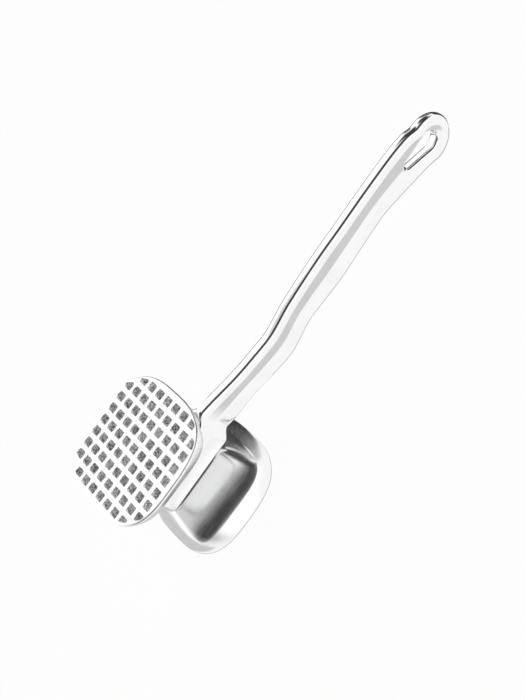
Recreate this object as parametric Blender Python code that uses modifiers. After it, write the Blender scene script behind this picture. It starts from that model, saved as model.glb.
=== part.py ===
"""Two-faced meat mallet: a cast handle whose spine carries two heads.

The mallet stands on its smooth face at z = 0, its toothed face looks up, and
its handle runs along +X. Lengths are in metres.
"""

import math

import bmesh
import bpy
from mathutils import Matrix, Vector

# Striking faces
face_width = 0.0578
face_roundness = 2.95
rim_rounding = 0.0009
head_length = 0.0548

# Teeth of the tenderising face
tooth_pitch = 0.0060
tooth_base = 0.0039
tooth_tip = 0.0005
tooth_height = 0.0021
tooth_root = 0.0010
teeth_per_side = 9
teeth_border = 0.0014

# Shoulder, where the side wall of a head turns into its roof
wall_height = 0.0077
shoulder_length = 0.0480
shoulder_width = 0.0522
shoulder_roundness = 6.0
shoulder_taper_share = 0.04
roof_swell_share = 0.5
wall_turn = math.radians(-20)

# Waist, where each roof meets the spine
waist_thickness = 0.0134
waist_length = 0.0336
waist_roundness = 5.0

# Spine, the middle of the head
spine_thickness = 0.0148
spine_depth = 0.0190
spine_below = 0.0174
spine_edge = 0.0012
spine_corner = 0.0020

# Neck and handle
neck_start = 0.0212
neck_end = 0.0272
handle_reach = 0.1894
handle_thickness = 0.0058
handle_edge = 0.0027
handle_depth = 0.0198
handle_end_radius = 0.0122
handle_end_lean = 0.0088

# Hanging eye in the end of the handle
eye_length = 0.0208
eye_width = 0.0100
eye_point_width = 0.0052
eye_from_end = 0.0079
eye_rise = 0.0016
eye_tilt = 0.0020

# Stud and dowels inside the head
stud_diameter = 0.0060
stud_grip = 0.0090
dowel_diameter = 0.0030
dowel_grip = 0.0048
dowel_spread = 0.0210
pin_chamfer = 0.0004

# Fits
joint_gap = 0.0003
bore_clearance = 0.0003
bore_bottom = 0.0004
cut_overrun = 0.0020

# Stations along the handle: place as a share of the reach, then the lean towards
# the smooth face and the depth, both as shares of the handle's depth
handle_station_shares = (
    (0.160, 0.085, 1.020),
    (0.245, 0.215, 0.905),
    (0.305, 0.325, 0.965),
    (0.370, 0.385, 0.990),
    (0.450, 0.240, 0.960),
    (0.570, 0.220, 1.085),
    (0.660, 0.185, 1.035),
    (0.750, 0.165, 1.030),
    (0.850, 0.264, 1.190),
    (0.905, 0.356, 1.272),
)

# Mesh fineness
face_segments = 48
roof_steps = 9
rim_steps = 5
edge_steps = 3
corner_steps = 4
handle_steps = 44
end_steps = 6
pin_segments = 24
end_turn_share = 0.96
sharp_angle = math.radians(35)

half_face = face_width / 2
half_spine = spine_depth / 2
middle_height = head_length / 2
seat_height = middle_height + half_spine + joint_gap
end_x = handle_reach - handle_end_radius


def clear_scene():
    for obj in list(bpy.data.objects):
        bpy.data.objects.remove(obj, do_unlink=True)


def new_collection(name):
    collection = bpy.data.collections.new(name)
    bpy.context.scene.collection.children.link(collection)
    return collection


def metal(name, colour, roughness):
    material = bpy.data.materials.new(name)
    material.use_nodes = True
    shader = material.node_tree.nodes["Principled BSDF"]
    shader.inputs["Base Color"].default_value = (*colour, 1.0)
    shader.inputs["Roughness"].default_value = roughness
    shader.inputs["Metallic"].default_value = 1.0
    return material


def make_object(name, collection, bm):
    bmesh.ops.recalc_face_normals(bm, faces=bm.faces)
    mesh = bpy.data.meshes.new(name)
    bm.to_mesh(mesh)
    bm.free()
    obj = bpy.data.objects.new(name, mesh)
    collection.objects.link(obj)
    return obj


def make_piece(name, collection, bm, material):
    piece = make_object(name, collection, bm)
    piece.data.materials.append(material)
    piece.data.shade_smooth()
    piece.data.set_sharp_from_angle(angle=sharp_angle)
    return piece


def make_cutter(name, collection, bm):
    cutter = make_object(name, collection, bm)
    cutter.hide_render = True
    cutter.display_type = "WIRE"
    return cutter


def add_boolean(piece, tool, operation="DIFFERENCE"):
    modifier = piece.modifiers.new(tool.name, "BOOLEAN")
    modifier.object = tool
    modifier.operation = operation
    modifier.solver = "EXACT"


def blend(start, end, share):
    return start + (end - start) * share


def ease(share):
    share = min(max(share, 0), 1)
    return share * share * (3 - 2 * share)


def lofted_bar(segments, rings, place):
    """Unit cylinder reshaped by place(ring, index), the point of each vertex."""
    bm = bmesh.new()
    bmesh.ops.create_cone(bm, cap_ends=True, segments=segments, radius1=1, radius2=1, depth=1)
    rails = [edge for edge in bm.edges if edge.verts[0].co.z != edge.verts[1].co.z]
    if rings > 2:
        bmesh.ops.subdivide_edges(bm, edges=rails, cuts=rings - 2)
    for vert in bm.verts:
        ring = round((vert.co.z + 0.5) * (rings - 1))
        turn = math.atan2(vert.co.y, vert.co.x) / math.tau
        vert.co = place(ring, round(turn * segments) % segments)
    return bm


def superellipse(share, half_x, half_y, roundness):
    """Point of a rounded rectangle, at a share of the way round."""
    cosine = math.cos(share * math.tau)
    sine = math.sin(share * math.tau)
    x = half_x * math.copysign(abs(cosine) ** (2 / roundness), cosine)
    y = half_y * math.copysign(abs(sine) ** (2 / roundness), sine)
    return x, y


def head_profile():
    """Rings of a head: length, width, roundness, taper and height on its seat."""
    rim_height = head_length - seat_height
    roof_height = rim_height - wall_height
    rings = []
    for step in range(roof_steps + 1):
        share = step / roof_steps
        growth = share + roof_swell_share * (share - share**2)
        length = blend(waist_length, shoulder_length, growth)
        width = blend(waist_thickness, shoulder_width, growth)
        roundness = blend(waist_roundness, shoulder_roundness, growth)
        taper = growth * shoulder_taper_share
        rings.append((length, width, roundness, taper, share * roof_height))
    for step in range(rim_steps + 1):
        turn = blend(wall_turn, math.pi / 2, step / rim_steps)
        width = face_width - 2 * rim_rounding * (1 - math.cos(turn))
        height = rim_height - rim_rounding * (1 - math.sin(turn))
        rings.append((width, width, face_roundness, 0, height))
    return rings


def head_bar(facing):
    """Head on one side of the spine, facing up (1) or down (-1)."""
    rings = head_profile()

    def place(ring, index):
        length, width, roundness, taper, height = rings[ring]
        x, y = superellipse(index / face_segments, length / 2, width / 2, roundness)
        y *= 1 - taper * x / (length / 2)
        return Vector((x, y, middle_height + facing * (seat_height - middle_height + height)))

    return lofted_bar(face_segments, len(rings), place)


def teeth():
    """Every tooth but the four at the corners, with its root sunk in the face."""
    bm = bmesh.new()
    last = (teeth_per_side - 1) / 2
    flank = (tooth_base - tooth_tip) / tooth_height
    root_width = tooth_base + flank * tooth_root
    square = Matrix.Rotation(math.pi / 4, 3, "Z")
    middle = head_length + (tooth_height - tooth_root) / 2
    for row in range(teeth_per_side):
        for column in range(teeth_per_side):
            if {row, column} <= {0, teeth_per_side - 1}:
                continue
            tooth = bmesh.ops.create_cone(
                bm,
                cap_ends=True,
                segments=4,
                radius1=root_width / math.sqrt(2),
                radius2=tooth_tip / math.sqrt(2),
                depth=tooth_height + tooth_root,
            )["verts"]
            spot = Vector(((row - last) * tooth_pitch, (column - last) * tooth_pitch, middle))
            bmesh.ops.rotate(bm, verts=tooth, matrix=square)
            bmesh.ops.translate(bm, verts=tooth, vec=spot)
    return bm


def face_prism():
    """Prism that trims the outer teeth along the rim."""
    half = half_face - teeth_border
    heights = (head_length - tooth_root - cut_overrun, head_length + tooth_height + cut_overrun)

    def place(ring, index):
        x, y = superellipse(index / face_segments, half, half, face_roundness)
        return Vector((x, y, heights[ring]))

    return lofted_bar(face_segments, 2, place)


def handle_line():
    """Points of the handle: place, height of its middle, depth."""
    points = [(neck_start, middle_height, spine_depth)]
    for place_share, lean_share, depth_share in handle_station_shares:
        lean = lean_share * handle_depth
        points.append((place_share * handle_reach, middle_height - lean, depth_share * handle_depth))
    points.append((end_x, middle_height - handle_end_lean, 2 * handle_end_radius))
    return points


def slope(points, number, value):
    """Slope of one value of the handle's line at one of its points."""
    before = points[max(number - 1, 0)]
    after = points[min(number + 1, len(points) - 1)]
    return (after[value] - before[value]) / (after[0] - before[0])


def along_line(points, x, value):
    """Smooth curve through one value of the handle's line."""
    if x <= points[0][0]:
        return points[0][value]
    if x >= points[-1][0]:
        return points[-1][value]
    number = max(index for index, point in enumerate(points) if point[0] <= x)
    start, end = points[number], points[number + 1]
    span = end[0] - start[0]
    share = (x - start[0]) / span
    start_slope = slope(points, number, value) * span if number else 0
    end_slope = slope(points, number + 1, value) * span if number + 2 < len(points) else 0
    cube, square = share**3, share**2
    return (
        start[value] * (2 * cube - 3 * square + 1)
        + start_slope * (cube - 2 * square + share)
        + end[value] * (3 * square - 2 * cube)
        + end_slope * (cube - square)
    )


def handle_rings():
    """Rings of the handle casting: place along it and how far its end is rounded in."""
    rings = []
    start = spine_corner - spine_below
    for step in range(edge_steps):
        turn = step / edge_steps * math.pi / 2
        rings.append((start - spine_corner * math.cos(turn), spine_corner * (1 - math.sin(turn))))
    for step in range(handle_steps + 1):
        rings.append((blend(start, end_x, step / handle_steps), 0))
    for step in range(1, end_steps + 1):
        turn = step / end_steps * end_turn_share * math.pi / 2
        rings.append((end_x + handle_end_radius * math.sin(turn), 0))
    return rings


def handle_bar():
    """Spine, neck and handle as one casting."""
    points = handle_line()
    rings = handle_rings()
    around = 4 * (corner_steps + 1)

    def place(ring, index):
        x, trim = rings[ring]
        neck = ease((x - neck_start) / (neck_end - neck_start))
        half_y = blend(spine_thickness, handle_thickness, neck) / 2 - trim
        half_z = along_line(points, x, 2) / 2 - trim
        edge = min(blend(spine_edge, handle_edge, neck), half_y)
        corner, step = divmod(index, corner_steps + 1)
        turn = (corner + step / corner_steps) * math.pi / 2
        side = 1 if corner in (0, 3) else -1
        top = 1 if corner < 2 else -1
        y = side * (half_y - edge) + edge * math.cos(turn)
        z = top * (half_z - edge) + edge * math.sin(turn)
        if x > end_x:
            z *= math.sqrt(1 - ((x - end_x) / handle_end_radius) ** 2)
            inside = handle_end_radius - math.hypot(x - end_x, z)
            if inside < edge:
                y = side * (half_y - edge + math.sqrt(edge**2 - (edge - max(inside, 0)) ** 2))
        return Vector((x, y, along_line(points, x, 1) + z))

    return lofted_bar(around, len(rings), place)


def round_bar(diameter, low, high, x=0):
    """Upright cylinder between two heights."""
    bm = bmesh.new()
    radius = diameter / 2
    bmesh.ops.create_cone(
        bm, cap_ends=True, segments=pin_segments, radius1=radius, radius2=radius, depth=high - low
    )
    bmesh.ops.translate(bm, verts=bm.verts, vec=Vector((x, 0, (low + high) / 2)))
    return bm


def eye_hole():
    """Teardrop through the handle's end: the hull of a wide and a narrow round."""
    bm = bmesh.new()
    middle = middle_height - handle_end_lean + eye_rise
    wide_x = handle_reach - eye_from_end - eye_width / 2
    narrow_x = handle_reach - eye_from_end - eye_length + eye_point_width / 2
    lie_down = Matrix.Rotation(math.pi / 2, 3, "X")
    reach = handle_thickness / 2 + cut_overrun
    ends = ((wide_x, middle, eye_width / 2), (narrow_x, middle + eye_tilt, eye_point_width / 2))
    for x, height, radius in ends:
        for y in (-reach, reach):
            ring = bmesh.ops.create_circle(bm, segments=pin_segments, radius=radius)["verts"]
            bmesh.ops.rotate(bm, verts=ring, matrix=lie_down)
            bmesh.ops.translate(bm, verts=ring, vec=Vector((x, y, height)))
    hull = bmesh.ops.convex_hull(bm, input=bm.verts)
    inner = [item for item in hull["geom_interior"] if isinstance(item, bmesh.types.BMVert)]
    bmesh.ops.delete(bm, geom=inner, context="VERTS")
    return bm


def add_pin(name, collection, material, diameter, low, high, x=0):
    piece = make_piece(name, collection, round_bar(diameter, low, high, x), material)
    chamfer = piece.modifiers.new("chamfer", "BEVEL")
    chamfer.width = pin_chamfer
    chamfer.segments = 1
    chamfer.limit_method = "ANGLE"


def drill(piece, cutters, diameter, low, high, x=0):
    name = f"{piece.name}_bore_{len(piece.modifiers) + 1}"
    bar = round_bar(diameter + 2 * bore_clearance, low, high, x)
    add_boolean(piece, make_cutter(name, cutters, bar))


def build():
    clear_scene()
    mallet = new_collection("meat_mallet")
    cutters = new_collection("cutters")
    satin = metal("satin_aluminium", (0.86, 0.86, 0.87), 0.22)
    polished = metal("polished_aluminium", (0.90, 0.90, 0.91), 0.12)
    steel = metal("stud_steel", (0.56, 0.56, 0.58), 0.35)

    handle = make_piece("handle", mallet, handle_bar(), polished)
    toothed_head = make_piece("toothed_head", mallet, head_bar(1), satin)
    smooth_head = make_piece("smooth_head", mallet, head_bar(-1), polished)

    tooth_block = make_cutter("tooth_block", cutters, teeth())
    add_boolean(tooth_block, make_cutter("face_prism", cutters, face_prism()), "INTERSECT")
    add_boolean(toothed_head, tooth_block, "UNION")
    add_boolean(handle, make_cutter("eye_hole", cutters, eye_hole()))

    seat = half_spine + joint_gap
    stud_low = middle_height - seat - stud_grip
    stud_high = middle_height + seat + stud_grip
    add_pin("tie_stud", mallet, steel, stud_diameter, stud_low, stud_high)
    bore_low, bore_high = stud_low - bore_bottom, stud_high + bore_bottom
    reach = half_spine + cut_overrun
    drill(handle, cutters, stud_diameter, middle_height - reach, middle_height + reach)
    drill(toothed_head, cutters, stud_diameter, middle_height, bore_high)
    drill(smooth_head, cutters, stud_diameter, bore_low, middle_height)

    number = 0
    for facing, head in ((1, toothed_head), (-1, smooth_head)):
        flank = middle_height + facing * (half_spine + joint_gap / 2)
        for end in (-1, 1):
            number += 1
            x = end * dowel_spread / 2
            low, high = flank - dowel_grip, flank + dowel_grip
            add_pin(f"dowel_{number}", mallet, steel, dowel_diameter, low, high, x)
            for piece in (handle, head):
                drill(piece, cutters, dowel_diameter, low - bore_bottom, high + bore_bottom, x)


build()
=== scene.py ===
"""Looks of the meat mallet: polished cast aluminium, as in the photograph."""

import math

import bmesh
import bpy
import numpy as np
from mathutils import Matrix, Vector


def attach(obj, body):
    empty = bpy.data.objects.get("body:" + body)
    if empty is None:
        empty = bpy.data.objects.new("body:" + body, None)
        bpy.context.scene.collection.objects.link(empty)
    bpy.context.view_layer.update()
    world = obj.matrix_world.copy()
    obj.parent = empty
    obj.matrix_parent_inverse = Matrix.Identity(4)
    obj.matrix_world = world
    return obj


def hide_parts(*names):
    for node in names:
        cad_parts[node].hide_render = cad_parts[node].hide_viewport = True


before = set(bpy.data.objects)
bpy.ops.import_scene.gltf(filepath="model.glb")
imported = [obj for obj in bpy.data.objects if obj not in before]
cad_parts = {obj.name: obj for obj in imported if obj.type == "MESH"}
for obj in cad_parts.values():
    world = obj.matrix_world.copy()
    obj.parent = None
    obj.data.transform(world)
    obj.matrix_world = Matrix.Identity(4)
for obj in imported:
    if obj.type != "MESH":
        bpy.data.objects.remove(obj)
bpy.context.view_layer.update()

# Striking faces and teeth, in metres
FACE = 0.0578
FACE_ROUND = 2.95
RIM_ROUND = 0.0009
HEAD = 0.0548
PITCH = 0.0060
TOOTH_BASE = 0.0039
TOOTH_TIP = 0.0005
TOOTH_HEIGHT = 0.0021
TOOTH_ROOT = 0.0006
TOOTH_EDGE = 0.00012
TEETH = 9
TEETH_BORDER = 0.0014
TRIM_BELOW = 0.004
TRIM_ABOVE = 0.006

# Wall, shoulder, roof and waist of a head, the painted shade next to the spine, and the gap at the spine
WALL = 0.0077
WALL_TURN = math.radians(-20)
SHOULDER_X = 0.0480
SHOULDER_Y = 0.0500
SHOULDER_ROUND = 4.2
SHOULDER_TAPER = -0.02
ROOF_SWELL = 0.50
WAIST_X = 0.0336
WAIST_Y = 0.0134
WAIST_ROUND = 5.0
SPINE_SHADE_SHARE = 0.012
SPINE_SHADE_FADE = 0.02
GAP = 0.0003

# Spine, neck and handle
SPINE_Y = 0.0148
SPINE_Z = 0.0190
SPINE_BELOW = 0.0174
SPINE_EDGE = 0.0012
SPINE_CORNER = 0.0020
NECK_START = 0.0212
NECK_END = 0.0272
REACH = 0.1894
BLADE = 0.0058
BLADE_EDGE = 0.0028
DEPTH = 0.0198
END_RADIUS = 0.0122
END_LEAN = 0.0088
END_TURN = 0.985

# Stations along the handle: place as a share of the reach, then the lean and the
# depth, both as shares of the handle's depth
STATIONS = (
    (0.160, 0.085, 1.020),
    (0.245, 0.215, 0.905),
    (0.305, 0.325, 0.965),
    (0.370, 0.385, 0.990),
    (0.450, 0.240, 0.960),
    (0.570, 0.220, 1.085),
    (0.660, 0.185, 1.035),
    (0.750, 0.165, 1.030),
    (0.850, 0.258, 1.190),
    (0.900, 0.335, 1.235),
)

# Hanging eye, with the share of its rounded edge that the upper side keeps
EYE_LENGTH = 0.0208
EYE_WIDTH = 0.0100
EYE_POINT = 0.0052
EYE_FROM_END = 0.0079
EYE_RISE = 0.0016
EYE_TILT = 0.0020
EYE_EDGE = 0.0019
EYE_EDGE_SHARE = 0.12
PLUG_STEP = 0.0002
PLUG_REACH = 0.001

# Painted reflection: a darker, slightly rougher stripe along the handle's flank
STRIPE_TOP = 0.0043
STRIPE_FOOT = 0.0003
STRIPE_LEAST = 0.001
STRIPE_FALL = 0.005
STRIPE_START = 0.024
STRIPE_START_FADE = 0.012
STRIPE_PAST_END = 0.0075
STRIPE_END_FADE = 0.004
STRIPE_TURN_FADE = 0.003

# Fineness of the meshes
AROUND_HEAD = 320
AROUND_TEETH = 160
NEAR_SEAM_SHARE = 0.2
NEAR_SEAM_STEPS = 20
ROOF_STEPS = 50
WALL_STEPS = 12
RIM_STEPS = 12
FACE_SHARES = (0.985, 0.96, 0.9, 0.8, 0.65, 0.5, 0.35, 0.2, 0.08)
CORNER_STEPS = 10
FLANK_STEPS = 20
CREST_STEPS = 3
END_STEPS = 30
NECK_FINE_END = 0.032
SPINE_STEP = 0.0012
NECK_STEP = 0.00025
GRIP_STEP = 0.0008

# Metal and floor
ALUMINIUM = (0.955, 0.956, 0.958)
WAVE_DEPTH = 0.00002
FLOOR_HALF = 3.0
FLOOR_DROP = 0.00005
CARD_LIFT = 0.00012
CONTACT_SHADOW_HALF = 0.0299

MIDDLE = HEAD / 2
SEAT = MIDDLE + SPINE_Z / 2 + GAP
END_X = REACH - END_RADIUS


def blend(a, b, t):
    return a + (b - a) * t


def ease(t):
    t = min(max(t, 0.0), 1.0)
    return t * t * (3 - 2 * t)


class Nodes:
    """Short way to write a node tree."""

    def __init__(self, tree):
        self.tree = tree

    def add(self, kind, **settings):
        node = self.tree.nodes.new(kind)
        for key, value in settings.items():
            setattr(node, key, value)
        return node

    def feed(self, socket, value):
        if isinstance(value, bpy.types.NodeSocket):
            self.tree.links.new(value, socket)
        else:
            socket.default_value = value

    def set(self, node, **inputs):
        for key, value in inputs.items():
            self.feed(node.inputs[key.replace("_", " ")], value)

    def math(self, operation, a, b):
        node = self.add("ShaderNodeMath", operation=operation)
        self.feed(node.inputs[0], a)
        self.feed(node.inputs[1], b)
        return node.outputs[0]

    def vector(self, operation, a, b=None):
        node = self.add("ShaderNodeVectorMath", operation=operation)
        self.feed(node.inputs[0], a)
        if b is not None:
            self.feed(node.inputs[1], b)
        return node.outputs["Value" if operation == "DOT_PRODUCT" else "Vector"]

    def ramp(self, value, low, high, start=0.0, end=1.0):
        """Smooth step from start to end as the value goes from low to high."""
        node = self.add("ShaderNodeMapRange", interpolation_type="SMOOTHSTEP")
        self.set(node, Value=value, From_Min=low, From_Max=high, To_Min=start, To_Max=end)
        return node.outputs["Result"]

    def noise(self, vector, scale, detail, roughness):
        node = self.add("ShaderNodeTexNoise")
        self.set(node, Vector=vector, Scale=scale, Detail=detail, Roughness=roughness)
        return node.outputs["Fac"]

    def stretched(self, vector, scale):
        node = self.add("ShaderNodeMapping")
        self.set(node, Vector=vector, Scale=scale)
        return node.outputs[0]

    def attribute(self, name):
        return self.add("ShaderNodeAttribute", attribute_name=name).outputs["Fac"]

    def colour(self, factor, first, second, kind="MIX"):
        """Mix of two colours, of which the first may be a socket."""
        node = self.add("ShaderNodeMix", data_type="RGBA", blend_type=kind)
        self.feed(node.inputs[0], factor)
        self.feed(node.inputs[6], first if isinstance(first, bpy.types.NodeSocket) else (*first, 1))
        self.feed(node.inputs[7], (*second, 1))
        return node.outputs[2]

    def grey(self, value):
        node = self.add("ShaderNodeCombineColor")
        self.set(node, Red=value, Green=value, Blue=value)
        return node.outputs[0]

    def bump(self, height, strength, distance, normal=None):
        node = self.add("ShaderNodeBump")
        self.set(node, Height=height, Strength=strength, Distance=distance)
        if normal is not None:
            self.feed(node.inputs["Normal"], normal)
        return node.outputs["Normal"]


def new_material(name):
    material = bpy.data.materials.new(name)
    material.use_nodes = True
    nodes = Nodes(material.node_tree)
    shader = material.node_tree.nodes["Principled BSDF"]
    where = nodes.add("ShaderNodeTexCoord").outputs["Object"]
    return material, nodes, shader, where


def polished(name, dull, grain, with_painted_reflection=False, spine_shaded=False):
    """Polished cast aluminium: slight waviness, fine casting grain, rubbed streaks, and where asked a
    painted reflection stripe and painted shade next to the spine.
    """
    material, nodes, shader, where = new_material(name)
    clouds = nodes.noise(where, 70, 3, 0.55)
    dimmed = [channel * 0.955 for channel in ALUMINIUM]
    tone = nodes.colour(nodes.ramp(clouds, 0.35, 0.7), dimmed, ALUMINIUM)
    marks = nodes.noise(nodes.stretched(where, (60, 900, 900)), 1.0, 3, 0.6)
    cloudy = nodes.ramp(clouds, 0.3, 0.75, dull, dull * 1.5)
    rough = nodes.math("ADD", cloudy, nodes.ramp(marks, 0.45, 0.75, 0, dull * 0.5))
    # Painted reflection: a darker, slightly rougher stripe along the handle's flank stands in for a grey
    # reflection.
    if with_painted_reflection:
        side = nodes.attribute("reflection_stripe_place")
        soft = nodes.math("MULTIPLY", nodes.ramp(side, 0.0, 0.12), nodes.ramp(side, 1.0, 0.88))
        soft = nodes.math("MULTIPLY", soft, nodes.attribute("fade"))
        tone = nodes.colour(soft, tone, (0.66, 0.66, 0.66), "MULTIPLY")
        rough = nodes.math("ADD", rough, nodes.math("MULTIPLY", soft, 0.10))
    # Painted shade: a dark, rougher strip on the roof next to the spine stands in for the shade in the gap
    # there.
    if spine_shaded:
        painted_spine_shade = nodes.attribute("painted_spine_shade")
        tone = nodes.colour(painted_spine_shade, tone, (0.17, 0.17, 0.175))
        rough = nodes.math("ADD", rough, nodes.math("MULTIPLY", painted_spine_shade, 0.3))
    broad = nodes.bump(nodes.noise(where, 95, 1, 0.4), 1.0, WAVE_DEPTH)
    normal = nodes.bump(nodes.noise(where, 2600, 3, 0.6), 1.0, grain, broad)
    nodes.set(shader, Base_Color=tone, Metallic=1.0, Roughness=rough, Normal=normal)
    return material


def rough_casting(name):
    """Rough, darker casting of the teeth."""
    material, nodes, shader, where = new_material(name)
    specks = nodes.noise(where, 1350, 3, 0.7)
    patches = nodes.noise(where, 330, 2, 0.5)
    mottle = nodes.math("ADD", nodes.math("MULTIPLY", specks, 0.75), nodes.math("MULTIPLY", patches, 0.25))
    tone = nodes.colour(nodes.ramp(mottle, 0.36, 0.64), (0.12, 0.12, 0.125), (1.0, 1.0, 1.0))
    rough = nodes.ramp(specks, 0.3, 0.7, 0.55, 0.34)
    normal = nodes.bump(nodes.noise(where, 1700, 3, 0.7), 1.0, 0.00030)
    nodes.set(shader, Base_Color=tone, Metallic=0.75, Roughness=rough, Normal=normal)
    return material


def turned_steel(name):
    material, nodes, shader, where = new_material(name)
    marks = nodes.noise(nodes.stretched(where, (200, 200, 6000)), 1.0, 2, 0.5)
    tone = nodes.colour(marks, (0.46, 0.46, 0.48), (0.60, 0.60, 0.62))
    rough = nodes.ramp(marks, 0.3, 0.7, 0.28, 0.42)
    normal = nodes.bump(marks, 0.5, 0.00003)
    nodes.set(shader, Base_Color=tone, Metallic=1.0, Roughness=rough, Normal=normal)
    return material


def link_object(name, mesh):
    obj = bpy.data.objects.new(name, mesh)
    bpy.context.scene.collection.objects.link(obj)
    return obj


def lofted(name, rings, material):
    """Closed rings of equal count as one smooth object, both ends capped."""
    count = len(rings[0])
    verts = [tuple(point) for ring in rings for point in ring]
    faces = []
    for start in range(0, len(verts) - count, count):
        for i in range(count):
            j = (i + 1) % count
            faces.append((start + i, start + j, start + count + j, start + count + i))
    faces.append(tuple(range(count))[::-1])
    faces.append(tuple(range(len(verts) - count, len(verts))))
    mesh = bpy.data.meshes.new(name)
    mesh.from_pydata(verts, [], faces)
    mesh.update()
    obj = link_object(name, mesh)
    mesh.materials.append(material)
    bm = bmesh.new()
    bm.from_mesh(mesh)
    bmesh.ops.recalc_face_normals(bm, faces=bm.faces)
    bm.to_mesh(mesh)
    bm.free()
    mesh.shade_smooth()
    return obj


def paint(obj, name, values):
    """Keep one value for each vertex, which a material reads."""
    attribute = obj.data.attributes.new(name, "FLOAT", "POINT")
    attribute.data.foreach_set("value", np.array(values, np.float32))


def apply_modifiers(obj):
    graph = bpy.context.evaluated_depsgraph_get()
    graph.update()
    mesh = bpy.data.meshes.new_from_object(obj.evaluated_get(graph), depsgraph=graph)
    obj.modifiers.clear()
    obj.data = mesh


def cut(obj, cutter, operation="DIFFERENCE"):
    modifier = obj.modifiers.new("cut", "BOOLEAN")
    modifier.object = cutter
    modifier.operation = operation
    modifier.solver = "EXACT"
    apply_modifiers(obj)
    bpy.data.objects.remove(cutter, do_unlink=True)


def outline(half_x, half_y, n, count):
    """Superellipse at even angles."""
    turn = np.arange(count) / count * math.tau
    c, s = np.cos(turn), np.sin(turn)
    r = ((np.abs(c) / half_x) ** n + (np.abs(s) / half_y) ** n) ** (-1 / n)
    return r * c, r * s


def head_levels():
    """Length, width, roundness, taper, height and painted shade next to the spine, from the seat to the
    rim.
    """
    rim_height = HEAD - SEAT
    roof = rim_height - WALL
    levels = []
    shares = [NEAR_SEAM_SHARE * i / NEAR_SEAM_STEPS for i in range(NEAR_SEAM_STEPS)]
    shares += [blend(NEAR_SEAM_SHARE, 1, i / ROOF_STEPS) for i in range(ROOF_STEPS + 1)]
    for share in shares:
        growth = share + ROOF_SWELL * (share - share**2)
        length = blend(WAIST_X, SHOULDER_X, growth)
        width = blend(WAIST_Y, SHOULDER_Y, growth)
        roundness = blend(WAIST_ROUND, SHOULDER_ROUND, growth)
        # Painted shade on the roof's lowest rings, next to the spine
        painted_spine_shade = 1 - ease((share - SPINE_SHADE_SHARE) / SPINE_SHADE_FADE)
        levels.append((length, width, roundness, SHOULDER_TAPER * growth, share * roof, painted_spine_shade))
    wide = FACE - 2 * RIM_ROUND * (1 - math.cos(WALL_TURN))
    foot = rim_height - RIM_ROUND * (1 - math.sin(WALL_TURN))
    for i in range(1, WALL_STEPS):
        share = i / WALL_STEPS
        length = blend(SHOULDER_X, wide, share)
        width = blend(SHOULDER_Y, wide, share)
        roundness = blend(SHOULDER_ROUND, FACE_ROUND, share)
        taper = blend(SHOULDER_TAPER, 0, share)
        levels.append((length, width, roundness, taper, blend(roof, foot, share), 0.0))
    for i in range(RIM_STEPS + 1):
        turn = blend(WALL_TURN, math.pi / 2, i / RIM_STEPS)
        width = FACE - 2 * RIM_ROUND * (1 - math.cos(turn))
        height = rim_height - RIM_ROUND * (1 - math.sin(turn))
        levels.append((width, width, FACE_ROUND, 0, height, 0.0))
    return levels


def make_head(name, facing, material, face_material):
    """Head on one side of the spine, facing up (1) or down (-1)."""
    rings = []
    painted_spine_shades = []
    for length, width, roundness, taper, height, painted_spine_shade in head_levels():
        x, y = outline(length / 2, width / 2, roundness, AROUND_HEAD)
        y = y * (1 - taper * x / (length / 2))
        z = MIDDLE + facing * (SEAT - MIDDLE + height)
        rings.append(np.stack([x, y, np.full_like(x, z)], 1))
        painted_spine_shades.append(painted_spine_shade)
    face = rings[-1]
    for share in FACE_SHARES:
        rings.append(face * [share, share, 1])
        painted_spine_shades.append(0.0)
    obj = lofted(name, rings, material)
    # Painted shade next to the spine, one value for each ring
    paint(obj, "painted_spine_shade", np.repeat(painted_spine_shades, AROUND_HEAD))
    obj.data.materials.append(face_material)
    for poly in obj.data.polygons:
        if abs(poly.normal.z) > 0.97 and facing * (poly.center.z - MIDDLE) > HEAD / 2 - RIM_ROUND / 2:
            poly.material_index = 1
    return obj


def make_teeth(material):
    """Pyramids on the toothed face, trimmed along the rim."""
    bm = bmesh.new()
    last = (TEETH - 1) / 2
    flank = (TOOTH_BASE - TOOTH_TIP) / TOOTH_HEIGHT
    root = TOOTH_BASE + flank * TOOTH_ROOT
    square = Matrix.Rotation(math.pi / 4, 3, "Z")
    middle = HEAD + (TOOTH_HEIGHT - TOOTH_ROOT) / 2
    for row in range(TEETH):
        for column in range(TEETH):
            if {row, column} <= {0, TEETH - 1}:
                continue
            tooth = bmesh.ops.create_cone(
                bm,
                cap_ends=True,
                segments=4,
                radius1=root / math.sqrt(2),
                radius2=TOOTH_TIP / math.sqrt(2),
                depth=TOOTH_HEIGHT + TOOTH_ROOT,
            )["verts"]
            spot = Vector(((row - last) * PITCH, (column - last) * PITCH, middle))
            bmesh.ops.rotate(bm, verts=tooth, matrix=square)
            bmesh.ops.translate(bm, verts=tooth, vec=spot)
    mesh = bpy.data.meshes.new("teeth_visual")
    bm.to_mesh(mesh)
    bm.free()
    mesh.materials.append(material)
    obj = link_object("teeth_visual", mesh)
    half = FACE / 2 - TEETH_BORDER
    x, y = outline(half, half, FACE_ROUND, AROUND_TEETH)
    heights = (HEAD - TRIM_BELOW, HEAD + TRIM_ABOVE)
    rings = [np.stack([x, y, np.full_like(x, z)], 1) for z in heights]
    cut(obj, lofted("teeth_trim", rings, material), "INTERSECT")
    soften = obj.modifiers.new("soften", "BEVEL")
    soften.width = TOOTH_EDGE
    soften.segments = 2
    soften.limit_method = "ANGLE"
    apply_modifiers(obj)
    obj.data.shade_smooth()
    obj.data.set_sharp_from_angle(angle=math.radians(40))
    return obj


def handle_line():
    """Points of the handle: place, height of its middle, depth."""
    points = [(NECK_START, MIDDLE, SPINE_Z)]
    for place, lean, depth in STATIONS:
        points.append((place * REACH, MIDDLE - lean * DEPTH, depth * DEPTH))
    points.append((END_X, MIDDLE - END_LEAN, 2 * END_RADIUS))
    return points


LINE = handle_line()


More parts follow.
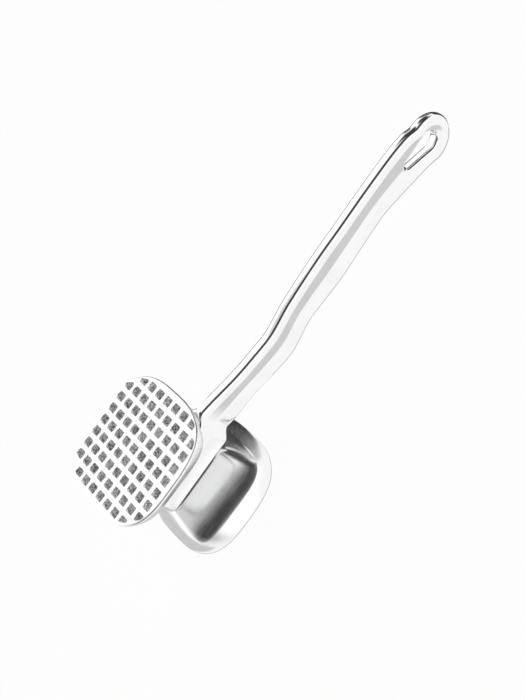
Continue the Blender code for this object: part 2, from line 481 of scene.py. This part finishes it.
def along(x, value):
    """Smooth curve through one value of the handle's line."""
    if x <= LINE[0][0]:
        return LINE[0][value]
    if x >= LINE[-1][0]:
        return LINE[-1][value]
    k = max(i for i, p in enumerate(LINE) if p[0] <= x)
    a, b = LINE[k], LINE[k + 1]
    span = b[0] - a[0]
    t = (x - a[0]) / span

    def slope(i):
        if i in (0, len(LINE) - 1):
            return 0
        before, after = LINE[i - 1], LINE[i + 1]
        return (after[value] - before[value]) / (after[0] - before[0]) * span

    return (a[value] * (2 * t**3 - 3 * t**2 + 1) + slope(k) * (t**3 - 2 * t**2 + t)
            + b[value] * (3 * t**2 - 2 * t**3) + slope(k + 1) * (t**3 - t**2))


def section_points(half_y, half_z, edge):
    """Points round a bar with rounded edges."""
    points = []
    for corner in range(4):
        side = 1 if corner in (0, 3) else -1
        top = 1 if corner < 2 else -1
        flat_y, flat_z = side * (half_y - edge), top * (half_z - edge)
        for step in range(CORNER_STEPS + 1):
            turn = (corner + step / CORNER_STEPS) * math.pi / 2
            points.append((flat_y + edge * math.cos(turn), flat_z + edge * math.sin(turn)))
        if corner in (1, 3):
            for step in range(1, FLANK_STEPS):
                points.append((side * half_y, blend(flat_z, -flat_z, step / FLANK_STEPS)))
        else:
            for step in range(1, CREST_STEPS):
                points.append((blend(flat_y, -flat_y, step / CREST_STEPS), top * half_z))
    return points


def handle_section(x, trim):
    """Points round the handle at x, each with its place across the painted reflection stripe and that
    stripe's strength.
    """
    neck = ease((x - NECK_START) / (NECK_END - NECK_START))
    half_y = blend(SPINE_Y, BLADE, neck) / 2 - trim
    half_z = along(x, 2) / 2 - trim
    edge = min(blend(SPINE_EDGE, BLADE_EDGE, neck), half_y)
    end = max(x - END_X, 0) / END_RADIUS
    squeeze = math.sqrt(max(1 - end * end, 0))
    # Painted reflection stripe: its width across the flank and its strength along the handle
    stripe_width = max(half_z - STRIPE_FOOT - STRIPE_TOP, STRIPE_LEAST)
    strength = ease((x - STRIPE_START) / STRIPE_START_FADE)
    strength *= 1 - ease((x - END_X - STRIPE_PAST_END) / STRIPE_END_FADE)
    points = []
    reflection_stripe_places = []
    fades = []
    for y, z in section_points(half_y, half_z, edge):
        reflection_stripe_place = (half_z - z - STRIPE_TOP) / stripe_width
        if z < -STRIPE_FOOT:
            reflection_stripe_place = 1 - z / STRIPE_FALL
        fade = strength
        if end > 0:
            z *= squeeze
            inside = max(END_RADIUS - math.hypot(x - END_X, z), 0)
            if inside < edge:
                bulge = math.sqrt(max(edge**2 - (edge - inside) ** 2, 0))
                y = math.copysign(half_y - edge + bulge, y)
            reflection_stripe_place = (inside - STRIPE_TOP) / STRIPE_FALL
            fade *= ease(z / STRIPE_TURN_FADE + 0.5)
        points.append((x, y, along(x, 1) + z))
        reflection_stripe_places.append(reflection_stripe_place)
        fades.append(fade)
    return points, reflection_stripe_places, fades


def handle_stations():
    """Places along the handle, each with how far the casting's end is rounded in."""
    start = SPINE_CORNER - SPINE_BELOW
    stations = []
    for i in range(CORNER_STEPS):
        turn = i / CORNER_STEPS * math.pi / 2
        stations.append((start - SPINE_CORNER * math.cos(turn), SPINE_CORNER * (1 - math.sin(turn))))
    for low, high, step in (
        (start, NECK_START, SPINE_STEP),
        (NECK_START, NECK_FINE_END, NECK_STEP),
        (NECK_FINE_END, END_X, GRIP_STEP),
    ):
        stations += [(float(x), 0.0) for x in np.arange(low, high, step)]
    for i in range(END_STEPS + 1):
        turn = i / END_STEPS * END_TURN * math.pi / 2
        stations.append((END_X + END_RADIUS * math.sin(turn), 0.0))
    return stations


def make_handle(material):
    rings, reflection_stripe_places, fades = [], [], []
    for x, trim in handle_stations():
        points, reflection_stripe_place, fade = handle_section(x, trim)
        rings.append(points)
        reflection_stripe_places.extend(reflection_stripe_place)
        fades.extend(fade)
    obj = lofted("handle_visual", rings, material)
    # Painted reflection stripe, read by the handle's material
    paint(obj, "reflection_stripe_place", reflection_stripe_places)
    paint(obj, "fade", fades)
    cut(obj, eye_cutter(material))
    obj.data.set_sharp_from_angle(angle=math.radians(50))
    return obj


def eye_cutter(material):
    """Teardrop plug whose ends flare, so that the eye gets rounded edges."""
    middle = MIDDLE - END_LEAN + EYE_RISE
    wide = Vector((REACH - EYE_FROM_END - EYE_WIDTH / 2, middle))
    narrow = Vector((REACH - EYE_FROM_END - EYE_LENGTH + EYE_POINT / 2, middle + EYE_TILT))
    wide_radius, narrow_radius = EYE_WIDTH / 2, EYE_POINT / 2
    axis = narrow - wide
    length = axis.length
    axis /= length
    across = Vector((-axis.y, axis.x))
    lean = math.acos((wide_radius - narrow_radius) / length)
    shape = []
    for i in range(41):
        shape.append((wide, wide_radius, lean + (math.tau - 2 * lean) * i / 40))
    for i in range(25):
        shape.append((narrow, narrow_radius, -lean + 2 * lean * i / 24))
    half = BLADE / 2
    levels = [(-half - PLUG_REACH, EYE_EDGE + PLUG_STEP), (-half - PLUG_STEP, EYE_EDGE + PLUG_STEP / 2)]
    for i in range(9):
        turn = i / 8 * math.pi / 2
        levels.append((-half + EYE_EDGE * (1 - math.cos(turn)), EYE_EDGE * (1 - math.sin(turn))))
    levels += [(-y, grow) for y, grow in reversed(levels)]
    rings = []
    for y, grow in levels:
        ring = []
        for centre, radius, turn in shape:
            out = axis * math.cos(turn) + across * math.sin(turn)
            share = blend(EYE_EDGE_SHARE, 1.0, ease((0.35 - out.y) / 0.7))
            point = centre + out * (radius + grow * share)
            ring.append((point.x, y, point.y))
        rings.append(ring)
    return lofted("eye_cutter", rings, material)


def make_world():
    """White studio with the dark and grey shades that the metal mirrors."""
    world = bpy.data.worlds.new("studio")
    bpy.context.scene.world = world
    world.use_nodes = True
    nodes = Nodes(world.node_tree)
    where = nodes.add("ShaderNodeTexCoord").outputs["Generated"]

    def level(value, outer, inner, start, end):
        """Start beyond the outer angle, end within the inner one."""
        return nodes.ramp(value, math.cos(math.radians(outer)), math.cos(math.radians(inner)), start, end)

    parts = nodes.add("ShaderNodeSeparateXYZ")
    nodes.set(parts, Vector=where)
    flat = nodes.add("ShaderNodeCombineXYZ")
    nodes.set(flat, Y=parts.outputs["Y"], Z=parts.outputs["Z"])
    tilt = math.radians(52)
    flattened = nodes.vector("NORMALIZE", flat.outputs[0])
    across = nodes.vector("DOT_PRODUCT", flattened, (0, -math.cos(tilt), math.sin(tilt)))
    strength = nodes.ramp(parts.outputs["X"], -0.95, -0.70, 0.6, 1.0)
    dark = nodes.math("MULTIPLY", level(across, 28, 10, 0.0, 1.0), strength)
    total = nodes.math("SUBTRACT", 1.0, nodes.math("MULTIPLY", dark, 0.96))
    for direction, outer, inner, shade in (
        ((0.77, 0.63, -0.04), 29, 20, 0.05),
        ((0.72, 0.10, 0.69), 30, 18, 0.05),
        ((-0.50, 0.0, 0.87), 34, 16, 0.58),
        ((-0.80, -0.48, 0.20), 42, 20, 0.30),
    ):
        nearness = nodes.vector("DOT_PRODUCT", where, Vector(direction).normalized())
        total = nodes.math("MULTIPLY", total, level(nearness, outer, inner, 1.0, shade))
    nodes.set(world.node_tree.nodes["Background"], Color=nodes.grey(total), Strength=1.2)


def make_floor():
    """White paper that keeps the object's shadow and is plain white in the metal."""
    corners = [(-1, -1), (1, -1), (1, 1), (-1, 1)]
    mesh = bpy.data.meshes.new("floor")
    mesh.from_pydata([(x * FLOOR_HALF, y * FLOOR_HALF, 0) for x, y in corners], [], [(0, 1, 2, 3)])
    floor = link_object("floor", mesh)
    floor.location.z = -FLOOR_DROP
    material = bpy.data.materials.new("floor_paper")
    material.use_nodes = True
    tree = material.node_tree
    nodes = Nodes(tree)
    shader = tree.nodes["Principled BSDF"]
    nodes.set(shader, Base_Color=(0.95, 0.95, 0.95, 1), Roughness=0.9)
    glow = nodes.add("ShaderNodeEmission")
    nodes.set(glow, Color=(1, 1, 1, 1), Strength=1.0)
    path = nodes.add("ShaderNodeLightPath")
    bounced = nodes.math("MAXIMUM", path.outputs["Is Glossy Ray"], path.outputs["Is Transmission Ray"])
    seen = nodes.math("MAXIMUM", nodes.math("MULTIPLY", path.outputs["Is Camera Ray"], 0.96), bounced)
    mix = nodes.add("ShaderNodeMixShader")
    for socket, value in zip(mix.inputs, (seen, shader.outputs[0], glow.outputs[0])):
        nodes.feed(socket, value)
    nodes.set(tree.nodes["Material Output"], Surface=mix.outputs[0])
    mesh.materials.append(material)


def make_card(name, corners, level, fade=None):
    """Card on the floor, seen only in the metal, fading to white along Y when a fade is given; some stand
    in as studio flags, some as painted shadows.
    """
    mesh = bpy.data.meshes.new(name)
    mesh.from_pydata([(x, y, CARD_LIFT) for x, y in corners], [], [tuple(range(len(corners)))])
    card = link_object(name, mesh)
    material = bpy.data.materials.new(name)
    material.use_nodes = True
    tree = material.node_tree
    nodes = Nodes(tree)
    glow = nodes.add("ShaderNodeEmission")
    nodes.set(glow, Color=(level, level, level, 1))
    if fade:
        split = nodes.add("ShaderNodeSeparateXYZ")
        nodes.set(split, Vector=nodes.add("ShaderNodeTexCoord").outputs["Object"])
        tone = nodes.ramp(split.outputs["Y"], *fade, 1.0, level)
        nodes.set(glow, Color=nodes.grey(tone))
    nodes.set(tree.nodes["Material Output"], Surface=glow.outputs[0])
    mesh.materials.append(material)
    card.visible_camera = False
    card.visible_diffuse = False
    card.visible_shadow = False
    card.visible_transmission = False


def make_camera():
    """Camera fitted to the tooth grid and the rims of the face."""
    data = bpy.data.cameras.new("camera")
    camera = link_object("camera", data)
    right = Vector((0.5838, -0.5969, -0.5503))
    up = Vector((0.8107, 0.4647, 0.3560))
    back = Vector((0.0432, -0.6540, 0.7553))
    turn = Matrix((right, up, back)).transposed().to_4x4()
    camera.matrix_world = Matrix.Translation((0.0814, -0.2807, 0.3498)) @ turn
    data.sensor_width = 36
    data.lens = 36 * 1000 / 700
    data.clip_start = 0.01
    data.clip_end = 20
    bpy.context.scene.camera = camera


# Both head materials paint shade next to the spine.
polish = polished("polished_aluminium_worn_spine_shaded", 0.15, 0.000022, spine_shaded=True)
handle_polish = polished("handle_aluminium", 0.09, 0.000004, with_painted_reflection=True)
satin = polished("satin_aluminium_cast", 0.26, 0.000012, spine_shaded=True)
face_polish = polished("face_aluminium", 0.16, 0.000010)
rough_cast = rough_casting("tooth_casting")
pin_steel = turned_steel("pin_steel")

handle = make_handle(handle_polish)
toothed = make_head("toothed_head_visual", 1, satin, face_polish)
smooth = make_head("smooth_head_visual", -1, polish, face_polish)
teeth = make_teeth(rough_cast)

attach(handle, "root")
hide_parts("handle")
for piece, node, slot in (
    (toothed, "toothed_head", "satin_aluminium"),
    (smooth, "smooth_head", "polished_aluminium"),
):
    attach(piece, "root")
    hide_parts(node)
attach(teeth, "root")

for name in ("tie_stud", "dowel_1", "dowel_2", "dowel_3", "dowel_4"):
    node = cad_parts[name]
    node.data.materials.clear()
    node.data.materials.append(pin_steel)

make_world()
make_floor()
make_card(
    "near_card",
    [(0.0292, -0.004), (0.090, -0.004), (0.090, 0.050), (0.197, 0.050), (0.197, 0.6), (0.0292, 0.6)],
    0.05,
    (-0.003, 0.005),
)
make_card("far_card", [(0.197, -0.005), (0.6, -0.005), (0.6, 0.6), (0.197, 0.6)], 0.04, (-0.004, 0.006))
# Painted shadow: grey card under the handle, mirrored by the metal as the handle's shadow on the floor
make_card("handle_shadow_card", [(0.055, -0.007), (0.196, -0.007), (0.196, 0.025), (0.055, 0.025)], 0.50)
make_card("grey_card", [(-0.06, -0.034), (-0.0292, -0.034), (-0.0292, 0.06), (-0.06, 0.06)], 0.60)
# Painted shadow: dark card under the smooth face, mirrored by the metal as the contact shadow round its
# rim
make_card("contact_shadow_card", list(zip(*outline(CONTACT_SHADOW_HALF, CONTACT_SHADOW_HALF, FACE_ROUND, 96))), 0.35)
make_camera()

scene = bpy.context.scene
scene.view_settings.view_transform = "Standard"
